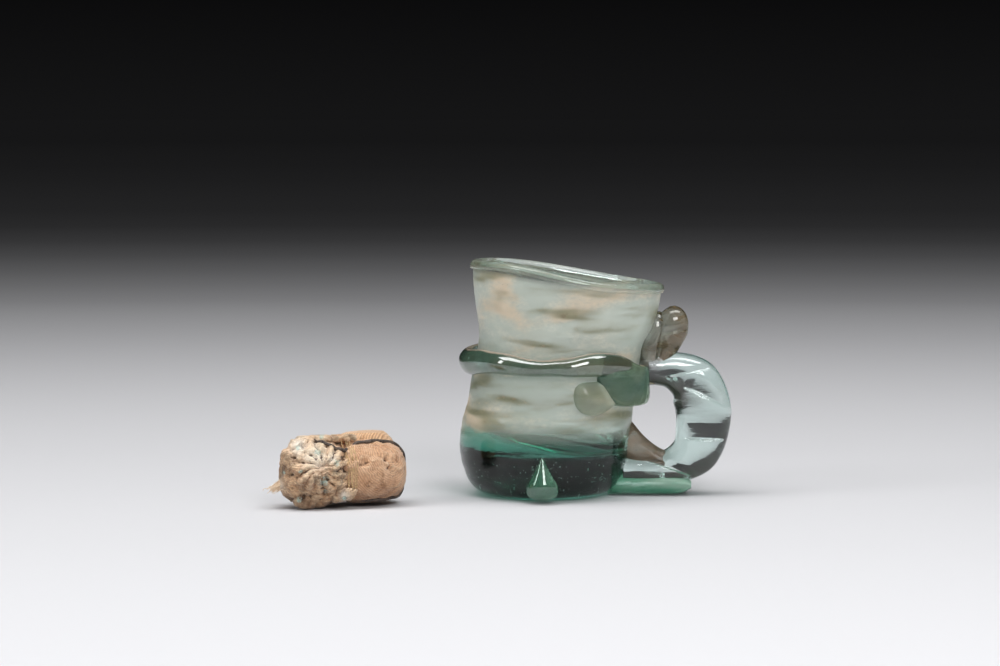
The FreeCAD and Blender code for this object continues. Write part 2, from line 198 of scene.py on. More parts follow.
near = greys(
    paper,
    reach / 2.5,
    [(0.0, 218), (0.268, 218), (0.294, 214), (0.327, 209), (0.371, 204), (0.4, 202), (0.52, 200), (0.588, 198), (1.0, 186)],
)
# Painted dark: beyond the pool the floor is a glow whose greys fall to near black with distance.
far = greys(
    paper,
    reach / 10.0,
    [
        (0.0, 175), (0.13, 174), (0.147, 152), (0.168, 120), (0.182, 103), (0.197, 87), (0.217, 69),
        (0.24, 53), (0.27, 41), (0.31, 35), (0.37, 32), (0.44, 29), (0.56, 26), (0.78, 24), (1.0, 22),
    ],
)
floor_look = paper.finish(
    paper.blend(
        paper.step(reach, 1.35, 1.75),
        paper.node("BsdfDiffuse", inputs={"Color": near}),
        paper.node("Emission", inputs={"Color": far}),
    )
)
bm = bmesh.new()
for x, y in ((-40, -40), (40, -40), (40, 40), (-40, 40)):
    bm.verts.new((x, y, 0))
bm.faces.new(bm.verts)
floor_mesh = bpy.data.meshes.new("floor")
bm.to_mesh(floor_mesh)
bm.free()
floor_mesh.materials.append(floor_look)
floor = bpy.data.objects.new("floor", floor_mesh)
bpy.context.scene.collection.objects.link(floor)

# The light: one wide soft box over and a little behind the pieces, a smaller one at the left,
# and the faint glow of a dark room.
room = Look("room", bpy.data.worlds)
height = room.axes(room.node("TexCoord", out="Generated"))[2]
dusk = greys(room, height * 0.5 + 0.5, [(0.0, 21), (0.5, 21), (0.52, 11), (0.6, 7), (1.0, 7)])
fill = room.node("LightPath", out="Is Diffuse Ray")
room.node(
    "OutputWorld",
    inputs={
        "Surface": room.blend(
            fill,
            room.node("Background", inputs={"Color": dusk}),
            room.node("Background", inputs={"Color": (0.06, 0.06, 0.063, 1)}),
        )
    },
)
bpy.context.scene.world = room.material
bpy.context.scene.view_settings.view_transform = "Standard"
for name, place, aim, size, watts in (
    ("over", (0.0, -0.07, 0.78), (0, 0, 0.02), (1.15, 0.34), 7.3),
    ("left", (-0.70, -0.30, 0.45), (0, 0, 0.03), (0.16, 0.40), 1.5),
    ("front", (0.30, -0.85, 0.55), (0, 0, 0.03), (0.40, 0.40), 4.6),
):
    lamp = bpy.data.lights.new(name, "AREA")
    lamp.shape, lamp.size, lamp.size_y, lamp.energy = "RECTANGLE", size[0], size[1], watts
    box = bpy.data.objects.new(name, lamp)
    box.location = place
    box.rotation_euler = (Vector(place) - Vector(aim)).to_track_quat("Z", "Y").to_euler()
    bpy.context.scene.collection.objects.link(box)

# The glass: one pot of naturally green glass, clear where it is thin and deep teal where it is thick, with a
# thin chalky weathering that lies in streaks round the walls.
pot_green = (0.38, 0.73, 0.66, 1.0)


def glass(name, density, milk, patches, film=(186, 200, 192), soil=(204, 190, 160), olive=(150, 146, 120), haze=0.02,
          clean_below=0.0, rim=0.0, crust=0.0, grain=0.5, ripples=0.2, dark=0.42, gloss=0.0):
    """Green glass with its own depth of colour, an even milky film, broad smooth patches of weathering between
    two heights in millimetres, brown specks of earth, and a pale crust along its upward faces."""
    look = Look(name)
    side, _, height = look.axes(look.place())
    broad = look.cloud(look.place(0.04, 0.04, 0.10), 1.0, 2.0, 0.5, 0.4)
    bands = look.cloud(look.place(0.03, 0.03, 0.16), 1.7, 2.0, 0.5, 0.2)
    fine = look.cloud(look.place(0.6, 0.6, 1.1), 1.0, 5.0, 0.62)
    grains = look.cloud(look.place(), 2.6, 2.0)
    aged = look.step(height, clean_below - 3.0, clean_below + 5.0) if clean_below else 1.0
    if rim:
        aged = aged * (1.0 - look.step(height + side * 0.123, rim - 1.6, rim + 0.4) * 0.8)
    patch = look.step(broad * 0.84 + fine * 0.16, 0.46, 0.64)
    dull = look.step(bands * 0.85 + fine * 0.15, 0.46, 0.68)
    speck = look.step(grains, 0.70, 0.76) * look.step(broad, 0.42, 0.60) * grain
    smear = look.step(fine, 0.58, 0.72) * look.step(bands, 0.55, 0.60) * grain
    cover = (milk + patches * patch + patches * 0.6 * dull + smear * 0.5) * aged
    up = look.axes(look.node("NewGeometry", out="Normal"))[2]
    caught = look.step(up + fine * 0.2, 0.88, 1.04) * crust
    cover = look.node("Math", {"operation": "MAXIMUM", "use_clamp": True}, {0: cover + speck * 0.5 * aged, 1: caught})
    earth = look.mix(dull, look.mix(patch, rgb(*film), rgb(*soil)), rgb(*olive))
    earth = look.mix(smear, earth, rgb(140, 116, 84))
    earth = look.mix(look.step(caught, 0.2, 0.7), earth, rgb(216, 194, 174))
    dirt = look.mix(speck, earth, rgb(84, 64, 44))
    chalk = look.blend(
        0.3,
        look.node(
            "BsdfPrincipled",
            inputs={"Base Color": dirt, "Roughness": 0.6, "Specular IOR Level": 0.3, "Coat Weight": gloss, "Coat IOR": 2.0},
        ),
        look.node("BsdfTranslucent", inputs={"Color": rgb(*film)}),
    )
    ripple = look.cloud(look.place(0.25, 0.25, 0.9), 1.0, 2.0)
    bump = look.node("Bump", inputs={"Strength": ripples, "Distance": 0.2 * mm, "Height": ripple + fine * 0.06})
    clear = look.node(
        "BsdfPrincipled",
        inputs={
            "Base Color": (0.98, 1.0, 0.99, 1),
            "Roughness": haze + 0.14 * patch,
            "IOR": 1.5,
            "Specular IOR Level": 1.0,
            "Transmission Weight": 1.0,
            "Coat Weight": gloss,
            "Coat IOR": 2.0,
            "Normal": bump,
        },
    )
    lamp_way = look.node("BsdfTransparent", inputs={"Color": (dark, dark * 1.04, dark, 1)})
    lit = look.node("LightPath", out="Is Shadow Ray")
    lit = look.node("Math", {"operation": "MAXIMUM"}, {0: lit, 1: look.node("LightPath", out="Is Diffuse Ray")})
    body = look.blend(lit, look.blend(cover, clear, chalk), lamp_way)
    seat = look.node("Attribute", {"attribute_name": "seat"}, out="Fac")
    through = look.blend(seat, body, look.node("BsdfTransparent"))
    depth = look.node("VolumeAbsorption", inputs={"Color": pot_green, "Density": density})
    return look.finish(through, depth)


def smooth_rows(rows, count):
    """A table's rows joined by smooth curves, at even steps along them."""
    rows = np.array(rows, float)
    at = np.linspace(0, len(rows) - 1, count)
    slope = np.gradient(rows, axis=0)
    low = np.minimum(at.astype(int), len(rows) - 2)
    t = (at - low)[:, None]
    start, end, out, into = rows[low], rows[low + 1], slope[low], slope[low + 1]
    return start * (1 + 2 * t) * (1 - t) ** 2 + out * t * (1 - t) ** 2 + end * t * t * (3 - 2 * t) - into * t * t * (1 - t)


def skin(name, rings, seat=0.0):
    """A closed smooth mesh through rings of points in millimetres, each end closed at its middle."""
    rings = np.array(rings, float)
    count, around = rings.shape[:2]
    points = np.concatenate([rings.reshape(-1, 3), [rings[0].mean(0)], [rings[-1].mean(0)]]) * mm
    faces = []
    for row in range(count - 1):
        for side in range(around):
            beside = (side + 1) % around
            a, b = row * around + side, row * around + beside
            faces.append((a, b, b + around, a + around))
    first, last = count * around, count * around + 1
    for side in range(around):
        beside = (side + 1) % around
        faces.append((beside, side, first))
        faces.append(((count - 1) * around + side, (count - 1) * around + beside, last))
    mesh = bpy.data.meshes.new(name)
    mesh.from_pydata(points.tolist(), [], faces)
    mesh.shade_smooth()
    work = bmesh.new()
    work.from_mesh(mesh)
    if work.calc_volume(signed=True) < 0:
        bmesh.ops.reverse_faces(work, faces=work.faces)
    work.to_mesh(mesh)
    work.free()
    mesh.attributes.new("seat", "FLOAT", "FACE").data.foreach_set("value", [seat] * len(mesh.polygons))
    item = bpy.data.objects.new(name, mesh)
    bpy.context.scene.collection.objects.link(item)
    return item


def wandered(rings, amount, scale, seed):
    """Rings of points moved a little by smooth noise, as hand-worked glass wanders."""
    rings = np.array(rings, float)
    flat = rings.reshape(-1, 3)
    drift = [noise.noise_vector(Vector(p) * scale + Vector((seed, seed * 2, seed * 3))) for p in flat]
    return (flat + np.array(drift) * amount).reshape(rings.shape)


# The cup's body: one blown gather, thick and rounded at the foot, drawn in a little at the waist and flared
# to a fire-rounded mouth that leans towards the handle. Its cavity has a rounded, sloping bottom.
cup_height, belly, lean, tilt = 55.3, 21.2, 5.8, 7.0
outside_shares = [
    (0.000, 0.560, 0.00),
    (0.006, 0.690, 0.00),
    (0.033, 0.822, 0.00),
    (0.080, 0.912, 0.00),
    (0.166, 0.983, 0.00),
    (0.238, 0.998, 0.00),
    (0.328, 1.000, 0.10),
    (0.412, 0.981, 0.28),
    (0.507, 0.976, 0.43),
    (0.620, 0.962, 0.62),
    (0.705, 0.969, 0.72),
    (0.789, 1.033, 0.86),
    (0.860, 1.078, 0.92),
    (0.930, 1.109, 0.96),
    (0.985, 1.125, 1.00),
]
around = 440
turns = np.linspace(0, 2 * math.pi, around, endpoint=False)


def level(height, radius, middle, slope, ripple=0.0, rise=0.0):
    """A round section of the wall, leaning and tilted about the Y axis."""
    out = radius + ripple
    x, y = out * np.cos(turns), -out * np.sin(turns)
    down = math.radians(slope)
    return np.stack(
        [middle + x * math.cos(down) + rise * math.sin(down), y, height - x * math.sin(down) + rise], axis=1
    )


def waver(height, size, seed):
    """A small swell of the wall that changes slowly round it and up it."""
    swell = [noise.noise(Vector((math.cos(t) * 1.3, math.sin(t) * 1.3, height * 0.09 + seed))) for t in turns]
    bands = noise.noise(Vector((seed, 0, height * 0.55)))
    return size * (np.array(swell) + 0.35 * bands)


def rim_wave(height):
    """How far the mouth's edge rises and dips round the cup, fading out down the wall."""
    degrees = np.degrees(turns)
    wave = np.zeros(around)
    for turn, width, lift in ((128, 32, 1.2), (72, 22, -0.45), (235, 40, 0.7), (305, 30, -0.3)):
        wave += lift * np.exp(-(((degrees - turn) / width) ** 2))
    return wave * min(1, max(0, (height - 44) / 11)) ** 1.5


outer_rows = smooth_rows([(up * cup_height, out * belly, to * lean, to * tilt) for up, out, to in outside_shares], 210)
foot = [level(0.25, belly * share, 0, 0) for share in (0.1, 0.3, 0.45)]
wall = [level(z, r, x, s, waver(z, 0.28, 3) * min(1, z / 6), rim_wave(z)) for z, r, x, s in outer_rows]
lip_size = 1.45
lip_height, lip_radius = outer_rows[-1][0] - 0.08, outer_rows[-1][1] - 0.92
lip = []
for number in range(19):
    angle = math.radians(-30 + 240 * number / 18)
    bulge = lip_size * math.cos(angle) + waver(57, 0.25, 9)
    lip.append(level(lip_height, lip_radius, lean, tilt, bulge, lip_size * math.sin(angle) + rim_wave(55)))
inside_rows = [
    (lip_height - 2.0, lip_radius - 1.0, 5.75, 6.9),
    (51.4, 22.2, 5.57, 6.7),
    (47.6, 21.6, 5.34, 6.4),
    (43.6, 20.55, 5.0, 6.0),
    (39.0, 19.05, 4.2, 5.0),
    (34.3, 18.75, 3.6, 4.3),
    (28.0, 18.85, 2.5, 3.0),
    (22.8, 18.9, 1.2, 2.6),
    (19.0, 18.9, 1.0, 3.0),
    (16.4, 17.9, 1.5, 4.0),
    (14.2, 15.6, 3.0, 5.0),
    (12.4, 12.2, 4.8, 5.5),
    (11.2, 8.4, 6.0, 5.5),
    (10.6, 4.4, 6.6, 5.0),
    (10.4, 1.2, 6.8, 5.0),
]
inside = [
    level(z, r, x, s, waver(z, 0.34, 21) * min(1, r / 12), rim_wave(z)) for z, r, x, s in smooth_rows(inside_rows, 150)
]
cup = skin("cup_body", foot + wall + lip + inside)
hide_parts("glass_body")
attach(cup, "cup")


def faces_of(item):
    """The middles of a mesh's faces."""
    middles = np.empty(len(item.data.polygons) * 3)
    item.data.polygons.foreach_get("center", middles)
    return middles.reshape(-1, 3)


def seats(item):
    marks = np.empty(len(item.data.polygons))
    item.data.attributes["seat"].data.foreach_get("value", marks)
    return marks


def pressed(base, lump):
    """Marks the faces of a piece that lie under another that was fused on hot, where the two have no surface."""
    tree = BVHTree.FromPolygons([v.co for v in lump.data.vertices], [p.vertices for p in lump.data.polygons])
    low, high = np.array(lump.bound_box[0]), np.array(lump.bound_box[6])
    middles, marks = faces_of(base), seats(base)
    up = Vector((0.013, 0.017, 1)).normalized()
    for index in np.nonzero(((middles > low) & (middles < high)).all(1))[0]:
        start, hits = Vector(middles[index]), 0
        while (spot := tree.ray_cast(start, up))[0]:
            start, hits = spot[0] + up * 1e-7, hits + 1
        if hits % 2:
            marks[index] = 1
    base.data.attributes["seat"].data.foreach_set("value", marks)


def trimmed(item, *tools):
    """Cuts a piece to the surfaces of those it was fused on, and marks the cut faces."""
    for tool in tools:
        cut = item.modifiers.new("cut", "BOOLEAN")
        cut.operation, cut.solver, cut.object = "DIFFERENCE", "MANIFOLD", tool
        bpy.context.view_layer.update()
        mesh = bpy.data.meshes.new_from_object(item.evaluated_get(bpy.context.evaluated_depsgraph_get()))
        item.modifiers.clear()
        item.data = mesh
    work = bmesh.new()
    work.from_mesh(item.data)
    mark = work.faces.layers.float["seat"]
    for edge in work.edges:
        edge.smooth = len({round(face[mark]) for face in edge.link_faces}) == 1
    work.to_mesh(item.data)
    work.free()


def shadow_of(item):
    """A copy of a piece to cut others with, all of it marked as a seat and left out of the view."""
    mesh = item.data.copy()
    mesh.attributes["seat"].data.foreach_set("value", [1.0] * len(mesh.polygons))
    copy = bpy.data.objects.new(item.name + "_tool", mesh)
    bpy.context.scene.collection.objects.link(copy)
    tools.append(copy)
    return copy


tools = []
whole_wall = skin("wall_whole", foot + wall + lip[:10], seat=1.0)
tools.append(whole_wall)


def applied(item, node, slot, look, *under, on=(), fused=True):
    """Fuses a piece on: cut to what it lies on, marked on it, and put in place of the node it stands for, which is
    hidden.
    A piece that was laid on cooler keeps its own surface where it touches."""
    lump = shadow_of(item)
    trimmed(item, whole_wall, *under)
    for base in (cup, *on) if fused else ():
        pressed(base, lump)
    if not fused:
        item.data.attributes["seat"].data.foreach_set("value", [0.0] * len(item.data.polygons))
    item.data.materials.clear()
    item.data.materials.append(look)
    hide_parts(node)
    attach(item, "cup")
    return lump


def round_wall(rows, middle, power=2.0, sides=48):
    """Sections of a lump that follows the wall: turn in degrees, its middle's distance out and height, half
    its thickness and half its height."""
    rings = []
    for turn, out, height, thick, high in rows:
        way = math.radians(turn)
        angles = np.linspace(0, 2 * math.pi, sides, endpoint=False)
        across = np.sign(np.cos(angles)) * np.abs(np.cos(angles)) ** (2 / power) * thick
        up = np.sign(np.sin(angles)) * np.abs(np.sin(angles)) ** (2 / power) * high
        rings.append(
            np.stack(
                [middle + (out + across) * math.cos(way), (out + across) * math.sin(way), height + up], axis=1
            )
        )
    return rings


# The thread: a thick trail of the same glass wound once round the waist. It starts behind the handle, swells
# and thins as it was pulled, and ends in the pad.
trail_rows = [
    (16, 21.4, 33.0, 0.7, 0.8),
    (20, 21.8, 33.1, 1.7, 1.9),
    (35, 22.1, 33.3, 2.2, 2.5),
    (60, 22.2, 33.6, 2.4, 2.7),
    (100, 22.2, 34.3, 2.5, 2.6),
    (140, 22.3, 34.4, 2.6, 2.8),
    (170, 22.3, 33.7, 2.6, 3.1),
    (190, 22.3, 33.6, 2.6, 3.1),
    (215, 22.2, 34.3, 2.5, 2.9),
    (232, 22.1, 34.1, 2.3, 2.7),
    (245, 21.9, 33.7, 2.2, 2.3),
    (259, 21.8, 33.4, 2.1, 1.95),
    (274, 21.8, 33.5, 2.2, 2.3),
    (285, 21.9, 33.9, 2.3, 2.8),
    (295, 21.9, 34.1, 2.4, 3.0),
    (309, 21.8, 33.7, 2.3, 2.8),
    (324, 21.4, 32.9, 1.7, 2.0),
    (331, 21.0, 32.4, 0.6, 0.8),
]
thread_glass = glass(
    "green_thread", 78.0, 0.27, 0.20, film=(104, 138, 114), soil=(128, 132, 104), olive=(88, 104, 82), crust=0.9,
    grain=0.15, ripples=0.12, gloss=1.0,
)
trail = skin("thread", wandered(round_wall(smooth_rows(trail_rows, 260), 3.5, 1.75), 0.22, 0.16, 5.0))
trail_lump = applied(trail, "waist_trail", "thread_glass", thread_glass)

# The pad: the thread's end, pressed flat and nearly square beside the handle while it was soft.
pad_rows = [
    (299, 21.2, 31.6, 0.8, 1.6),
    (304, 21.3, 30.8, 2.2, 4.2),
    (311, 21.4, 29.8, 2.9, 5.6),
    (320, 21.4, 29.1, 3.2, 5.7),
    (332, 21.3, 28.5, 3.4, 5.3),
    (342, 21.2, 28.1, 3.4, 4.9),
    (347, 21.1, 27.9, 3.0, 4.4),
    (348.6, 20.9, 27.8, 1.6, 3.0),
]
pad = skin("thread_pad", wandered(round_wall(smooth_rows(pad_rows, 90), 2.6, 4.2, 72), 0.35, 0.22, 8.0))
pad_glass = glass(
    "rippled_pad", 60.0, 0.32, 0.16, film=(128, 176, 146), soil=(168, 184, 146), olive=(84, 132, 108), crust=0.9,
    grain=0.15, ripples=0.55,
)
pad_lump = applied(pad, "trail_end_pad", "thread_glass", pad_glass, trail_lump, on=(trail,))

# The tongue: a lobe that ran down from the pad and was flattened on the wall.
tongue_rows = [
    (283.5, 20.4, 26.3, 0.5, 0.9),
    (285.5, 20.7, 26.2, 1.3, 2.4),
    (290, 20.9, 25.9, 2.0, 3.7),
    (297, 21.0, 25.7, 2.4, 4.1),
    (304, 21.0, 25.9, 2.5, 3.9),
    (311, 20.9, 26.4, 2.3, 3.3),
    (317, 20.6, 26.9, 1.6, 2.3),
    (319, 20.2, 27.0, 0.6, 0.9),
]
tongue = skin("thread_tongue", wandered(round_wall(smooth_rows(tongue_rows, 70), 2.0, 2.2, 64), 0.25, 0.25, 2.0))
tongue_look = glass(
    "pale_tongue", 30.0, 0.50, 0.16, film=(208, 216, 190), soil=(226, 220, 188), olive=(166, 176, 146), ripples=0.45
)
applied(tongue, "trail_tongue", "thread_glass", tongue_look, trail_lump, pad_lump, on=(trail, pad))

# The drop: a teardrop of clearer glass on the front of the base, its point upwards.
drop_rows = [
    (11.6, 21.0, 0.15),
    (10.9, 20.95, 0.55),
    (9.0, 20.8, 1.35),
    (6.6, 20.45, 2.65),
    (4.6, 19.95, 3.75),
    (3.1, 19.35, 4.0),
    (1.9, 18.8, 3.5),
    (1.0, 18.4, 2.2),
    (0.65, 18.2, 0.8),
]
drop_rings = []
for height, out, half in smooth_rows(drop_rows, 60):
    angles = np.linspace(0, 2 * math.pi, 64, endpoint=False)
    drop_rings.append(
        np.stack([half * np.cos(angles) - 0.7, -out + half * 0.95 * np.sin(angles), np.full(64, height)], axis=1)
    )
drop = skin("base_teardrop", drop_rings)
# The drop's pale green film is partly weathering and partly painted light, standing in for the light caught inside the
# drop.
drop_glass = glass(
    "bright_drop", 170.0, 0.24, 0.22, film=(112, 196, 154), soil=(196, 240, 212), olive=(84, 156, 122), grain=0.0, gloss=0.7
)
applied(drop, "base_drop", "pale_glass", drop_glass, fused=False)


# The handle: a thick rod drawn into a loop, flattened while soft so that its faces are broad and its edges
# round. It is laid on the wall at its top, over the strip, and its lower arm comes back to the base.
def drawn(sections, half_width, power=2.5, sides=72):
    """Sections of a bar in the XZ plane: x, z, direction in degrees, half its thickness, half its own width."""
    rings = []
    for x, z, direction, half, *own in sections:
        way = math.radians(direction)
        angles = np.linspace(0, 2 * math.pi, sides, endpoint=False)
        side = np.sign(np.cos(angles)) * np.abs(np.cos(angles)) ** (2 / power) * half
        cross = np.sign(np.sin(angles)) * np.abs(np.sin(angles)) ** (2 / power) * (own[0] if own else half_width)
        rings.append(np.stack([x - side * math.sin(way), cross, z + side * math.cos(way)], axis=1))
    return rings


handle_glass = glass("clear_handle", 50.0, 0.02, 0.05, grain=0.1, gloss=0.4)
aged_handle = glass(
    "brown_handle", 60.0, 0.46, 0.18, film=(134, 114, 82), soil=(176, 146, 114), olive=(104, 90, 66), grain=0.6, ripples=0.12,
    gloss=0.5
)
loop_rows = [
    (26.1, 31.3, 0, 3.67),
    (28.7, 31.4, -4, 3.90),
    (32.4, 31.1, -20, 4.60),
    (37.1, 28.7, -47, 6.30),
    (39.7, 22.5, -86, 7.10),
    (39.7, 16.4, -97, 6.70),
    (37.6, 10.4, -122, 6.00),
    (32.9, 7.2, -150, 4.80),
    (27.5, 6.55, -172, 3.85),
    (19.7, 6.3, -180, 3.65),
]
loop = skin("handle", wandered(drawn(smooth_rows(loop_rows, 300), 4.85, 2.5, 150), 0.3, 0.14, 4.0))


def tooled(item, marks):
    """Ledges that the tools left across the front: from, to, how deep, and how far above the line it fades."""
    spots = np.array([v.co for v in item.data.vertices])
    facing = np.array([v.normal for v in item.data.vertices])
    x, z = spots[:, 0] / mm, spots[:, 2] / mm
    for (x1, z1), (x2, z2), depth, fade in marks:
        run = math.hypot(x2 - x1, z2 - z1)
        along = ((x - x1) * (x2 - x1) + (z - z1) * (z2 - z1)) / run
        above = ((z - z1) * (x2 - x1) - (x - x1) * (z2 - z1)) / run
        ends = np.clip((along + 1.0) / 2.0, 0, 1) * np.clip((run + 1.0 - along) / 2.0, 0, 1)
        drop = np.clip(above / 0.35 + 0.5, 0, 1) * np.clip(1 - above / fade, 0, 1)
        spots[:, 1] += depth * mm * drop * ends * np.clip(-facing[:, 1] * 1.6, 0, 1)
    item.data.vertices.foreach_set("co", spots.ravel())
    item.data.update()


tooled(
    loop,
    [
        ((35.4, 27.0), (44.6, 22.6), 0.8, 4.2),
        ((35.0, 14.3), (44.0, 14.0), 0.95, 4.2),
        ((24.0, 9.5), (37.0, 4.9), 0.75, 2.2),
        ((29.5, 29.6), (41.5, 31.8), 0.5, 1.8),
    ],
)
strip_rows = [
    (26.5, 27.8, 90, 1.5, 3.4),
    (26.6, 30.2, 92, 2.35, 4.2),
    (26.4, 34.0, 92, 2.5, 4.3),
    (26.8, 38.9, 84, 2.63, 4.2),
    (28.0, 42.8, 66, 2.3, 3.6),
    (28.9, 44.8, 60, 1.4, 2.4),
    (29.3, 45.5, 60, 0.5, 1.0),
]
strip = skin("handle_strip", wandered(drawn(smooth_rows(strip_rows, 90), 4.2), 0.3, 0.2, 6.0))
strip_lump = applied(strip, "handle_wall_strip", "handle_glass", aged_handle)
loop_lump = applied(loop, "handle_loop", "handle_glass", handle_glass, strip_lump, on=(strip,))

# The thumb rest: the rod's end, curled up and over above the strip.
knob_rows = [
    (29.0, 33.4, 62, 2.5, 4.2),
    (29.9, 36.3, 66, 3.1, 4.3),
    (30.9, 39.2, 70, 3.9, 4.4),
    (31.7, 41.6, 72, 4.25, 4.4),
    (32.4, 43.8, 74, 3.9, 4.1),
    (32.9, 45.5, 75, 3.0, 3.3),
    (33.2, 46.6, 75, 1.8, 2.2),
    (33.3, 47.1, 75, 0.6, 0.8),
]
knob = skin("thumb_knob", wandered(drawn(smooth_rows(knob_rows, 110), 4.4, 2.2, 96), 0.3, 0.25, 7.0))
tooled(knob, [((28.4, 40.4), (36.0, 41.4), 0.4, 3.4)])
applied(knob, "thumb_rest", "handle_glass", aged_handle, strip_lump, loop_lump, on=(strip, loop))

# The web and the foot: glass pinched between the lower arm and the wall, and a lobe under the arm that
# was pressed on the marver, level with the base.
gusset_rows = [(19.3, 14.9, -40, 4.3), (24.0, 10.4, -42, 3.7), (30.1, 7.9, -22, 3.0)]
gusset = skin("handle_web", wandered(drawn(smooth_rows(gusset_rows, 60), 4.2), 0.25, 0.25, 9.0))
web_look = glass(
    "earthy_web", 60.0, 0.55, 0.30, film=(156, 136, 114), soil=(190, 156, 130), olive=(100, 88, 72), grain=0.8, ripples=0.4
)
applied(gusset, "handle_gusset", "handle_glass", web_look, loop_lump, on=(loop,))
lobe_rows = [
    (16.0, 2.55, -180, 2.2),
    (19.4, 2.7, -180, 2.5),
    (24.7, 2.7, -180, 2.5),
    (30.4, 2.7, -180, 2.45),
    (34.6, 2.65, -180, 2.0),
    (36.7, 2.7, -180, 0.9),
]
lobe = skin("handle_foot", wandered(drawn(smooth_rows(lobe_rows, 80), 5.4, 2.8), 0.2, 0.3, 11.0))
# The foot's bright green film is partly weathering and partly painted light, standing in for the light caught inside
# the lobe.
foot_look = glass(
    "bright_foot", 54.0, 0.34, 0.20, film=(140, 232, 190), soil=(206, 246, 222), olive=(104, 186, 152), grain=0.1,
    ripples=0.6,
)
applied(lobe, "handle_foot_lobe", "handle_glass", foot_look, loop_lump, on=(loop,))

cup.data.materials.append(
    glass("clouded_green", 120.0, 0.48, 0.34, film=(248, 251, 240), soil=(255, 232, 204), olive=(160, 154, 122), clean_below=16.0, rim=55.2,
          grain=1.0, dark=0.55)
)
for tool in tools:
    bpy.data.objects.remove(tool)

# Seeds: fine pale specks caught in the thick base when the glass was melted, some grit and some tiny bubbles
# whose glints are painted as a pale diffuse colour.
grit = Look("pale_grit")
grit_and_glint_look = grit.finish(grit.node("BsdfDiffuse", inputs={"Color": rgb(214, 232, 226)}))
cup.data.materials.append(grit_and_glint_look)
work = bmesh.new()
work.from_mesh(cup.data)
for number in range(260):
    shake = [math.sin(number * 12.9898 + part * 78.233) * 43758.5453 % 1 for part in range(4)]
    away, turn = 6.0 + 12.4 * math.sqrt(shake[0]), math.pi * (1.0 + 1.0 * shake[1] + (number % 4 == 0))
    spot = (away * math.cos(turn), away * math.sin(turn), 1.2 + 8.6 * shake[2])
    size = 0.05 + 0.12 * shake[3] ** 3
    if away < 15.0 + spot[2] * 0.4:
        made = bmesh.ops.create_icosphere(
            work, subdivisions=1, radius=size * mm, matrix=Matrix.Translation(Vector(spot) * mm)
        )
        for face in {face for corner in made["verts"] for face in corner.link_faces}:
            face.material_index = 1
work.to_mesh(cup.data)
work.free()

# The relic: a splinter of old bone, dry and yellowed, that lies in the middle of the cloth and isn't seen.
bone = Look("old_bone_surface")
grain = bone.cloud(bone.place(0.3, 0.3, 2.0), 1.0, 4.0, 0.6)
pores = bone.cloud(bone.place(), 2.2, 3.0)
bone_tone = bone.mix(bone.step(grain, 0.3, 0.7), rgb(214, 196, 160), rgb(176, 150, 112))
bone_look = bone.finish(
    bone.node(
        "BsdfPrincipled",
        inputs={
            "Base Color": bone.mix(bone.step(pores, 0.62, 0.72) * 0.7, bone_tone, rgb(98, 76, 54)),
            "Roughness": 0.55,
            "Normal": bone.node("Bump", inputs={"Strength": 0.4, "Distance": 0.1 * mm, "Height": grain - pores * 0.4}),
        },
    )
)
splinter = bpy.data.objects["relic_bone"]
splinter.data.materials.clear()
splinter.data.materials.append(bone_look)

# The roll: plain undyed linen, wound over the bone and gathered at the waist, so that its threads run out
# from the tie over the round end. Dust and wear have left it soft and finely creased.
waist_place, bundle_turn = Vector((-51.5, -23.0, 0.0)), 18.0


def laid(rings):
    """Moves points from the bundle's own axes, along, across and up, to where it lies."""
    rings = np.array(rings, float)
    way = math.radians(bundle_turn)
    along, across = rings[..., 0].copy(), rings[..., 1].copy()
    rings[..., 0] = along * math.cos(way) - across * math.sin(way) + waist_place.x
    rings[..., 1] = along * math.sin(way) + across * math.cos(way) + waist_place.y
    return rings


def wrapped(rows, sides=96, power=2.2):
    """Sections of wrapped cloth: along, across, height, half its width and half its height."""
    angles = np.linspace(0, 2 * math.pi, sides, endpoint=False)
    side = np.sign(np.cos(angles)) * np.abs(np.cos(angles)) ** (2 / power)
    up = np.sign(np.sin(angles)) * np.abs(np.sin(angles)) ** (2 / power)
    return laid([np.stack([np.full(sides, a), c + w * side, z + h * up], axis=1) for a, c, z, w, h in rows])


def points_of(item):
    spots = np.empty(len(item.data.vertices) * 3)
    item.data.vertices.foreach_get("co", spots)
    return spots.reshape(-1, 3)


def moved(item, spots):
    item.data.vertices.foreach_set("co", np.asarray(spots, float).ravel())
    item.data.update()


def outward(item):
    """The direction in which each point of a mesh faces."""
    facing = np.empty(len(item.data.vertices) * 3)
    item.data.vertices.foreach_get("normal", facing)
    return facing.reshape(-1, 3)


def applied_modifier(item):
    bpy.context.view_layer.update()
    mesh = bpy.data.meshes.new_from_object(item.evaluated_get(bpy.context.evaluated_depsgraph_get()))
    item.modifiers.clear()
    item.data = mesh
    mesh.shade_smooth()


